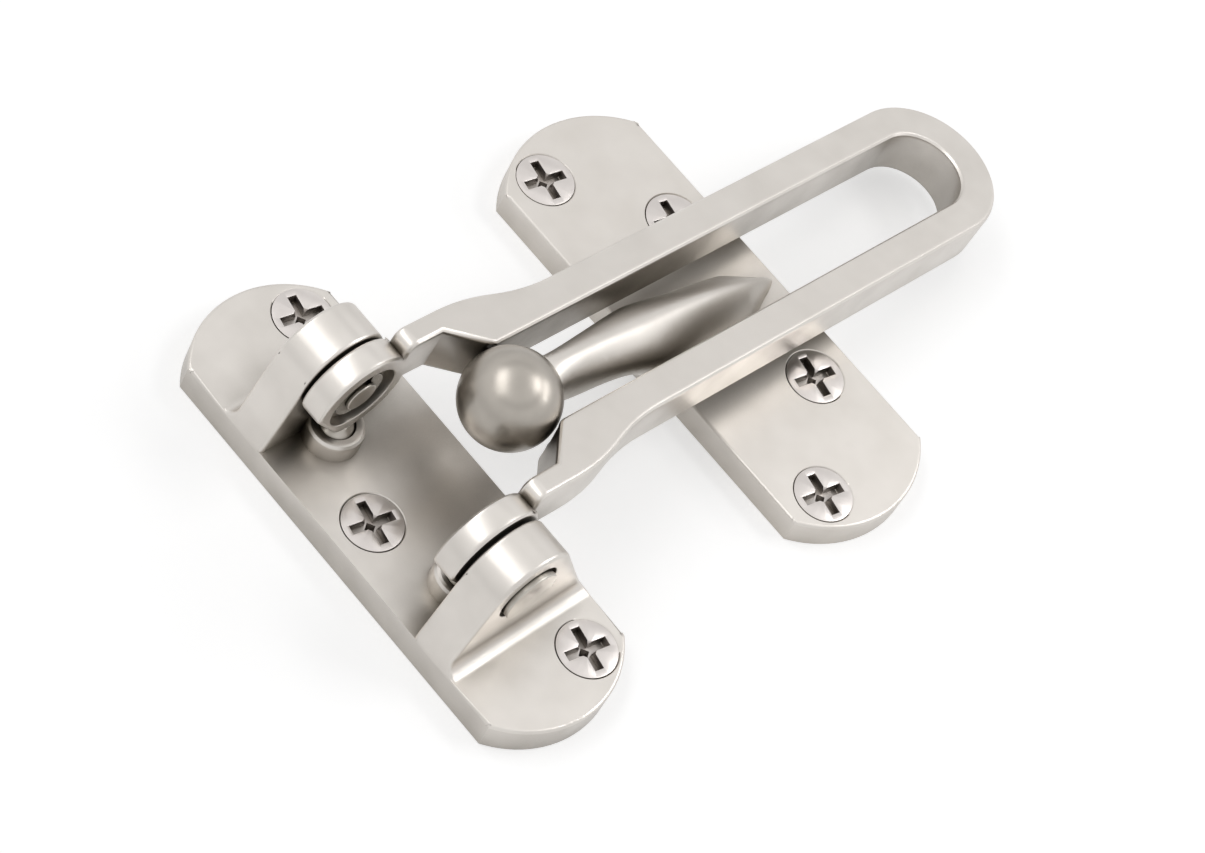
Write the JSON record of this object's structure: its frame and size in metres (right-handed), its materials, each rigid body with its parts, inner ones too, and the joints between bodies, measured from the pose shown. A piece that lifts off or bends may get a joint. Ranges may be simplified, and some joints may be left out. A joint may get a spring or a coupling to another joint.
{
  "type": "swing bar door guard",
  "caption": "Two-part door guard: a U-shaped swing bar hinged between two ears folds over a ball on a horn.",
  "frame": {"origin": "middle of the hinge plate's back face", "axes": "+X from the hinge plate towards the catch plate, +Y along the hinge pins, +Z out of the plates"},
  "size_m": [0.1312, 0.0788, 0.0442],
  "materials": {
    "satin_nickel": "satin nickel plate on a zinc casting",
    "ball_nickel": "satin nickel plate, a shade darker",
    "screw_steel": "bright nickel plated steel",
    "pin_steel": "plated steel",
    "spring_steel": "drawn spring wire",
    "black_nylon": "moulded nylon"
  },
  "bodies": {
    "hinge_base": {"detent_spring_lower": "spring_steel", "detent_spring_upper": "spring_steel", "hinge_pin_lower": "pin_steel", "hinge_pin_upper": "pin_steel", "hinge_plate": "satin_nickel", "hinge_plate_screw_1": "screw_steel", "hinge_plate_screw_2": "screw_steel", "hinge_plate_screw_3": "screw_steel", "knuckle_washer_lower": "black_nylon", "knuckle_washer_upper": "black_nylon", "pin_clip_lower": "pin_steel", "pin_clip_upper": "pin_steel"},
    "swing_bar": {"swing_bar": "satin_nickel"},
    "catch": {"ball": "ball_nickel", "ball_stud": "pin_steel", "catch_plate": "satin_nickel", "catch_plate_screw_1": "screw_steel", "catch_plate_screw_2": "screw_steel", "catch_plate_screw_3": "screw_steel", "catch_plate_screw_4": "screw_steel"},
    "plunger_upper": {"detent_plunger_upper": "pin_steel"},
    "plunger_lower": {"detent_plunger_lower": "pin_steel"}
  },
  "joints": [
    {"name": "bar_swing", "type": "hinge", "parent": "hinge_base", "child": "swing_bar", "pos_m": [-0.0025, 0, 0.0172], "axis": [0, -1, 0], "range_deg": [0, 180]},
    {"name": "catch_travel", "type": "slide", "parent": "hinge_base", "child": "catch", "axis": [0, 0, 1], "range_m": [0, 0.003]},
    {"name": "detent_upper", "type": "slide", "parent": "hinge_base", "child": "plunger_upper", "axis": [0, 0, 1], "range_m": [-0.0008, 0], "stiffness_N_per_m": 600, "springref_m": 0.002, "deforming": ["detent_spring_upper"]},
    {"name": "detent_lower", "type": "slide", "parent": "hinge_base", "child": "plunger_lower", "axis": [0, 0, 1], "range_m": [-0.0008, 0], "stiffness_N_per_m": 600, "springref_m": 0.002, "deforming": ["detent_spring_lower"]}
  ]
}
